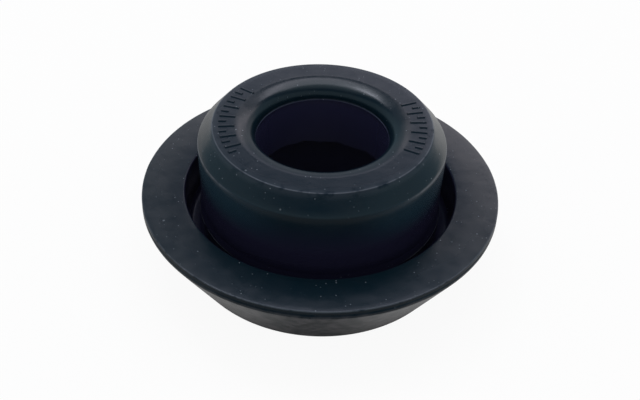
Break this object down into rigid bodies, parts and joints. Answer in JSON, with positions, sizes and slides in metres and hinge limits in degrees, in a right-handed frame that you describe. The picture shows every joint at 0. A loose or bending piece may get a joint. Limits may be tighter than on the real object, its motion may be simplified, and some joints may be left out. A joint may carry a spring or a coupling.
{
  "type": "tool holder cap",
  "caption": "Moulded rubber dust cap for a rotary hammer's tool holder: tapered nose with a flat shoulder, deep annular groove, and chamfered plug with a rolled bore.",
  "frame": {"origin": "centre of the flat nose ring that the cap stands on, on the axis of the bore", "axes": "+Z along the bore's axis, from the nose to the plug's end face; the cap is a body of revolution, so X and Y are free"},
  "size_m": [0.048, 0.048, 0.0207],
  "materials": {
    "rubber": "satin moulded black rubber with fine dust and pale worn edges"
  },
  "bodies": {
    "root": {"cap": "rubber"}
  },
  "joints": []
}
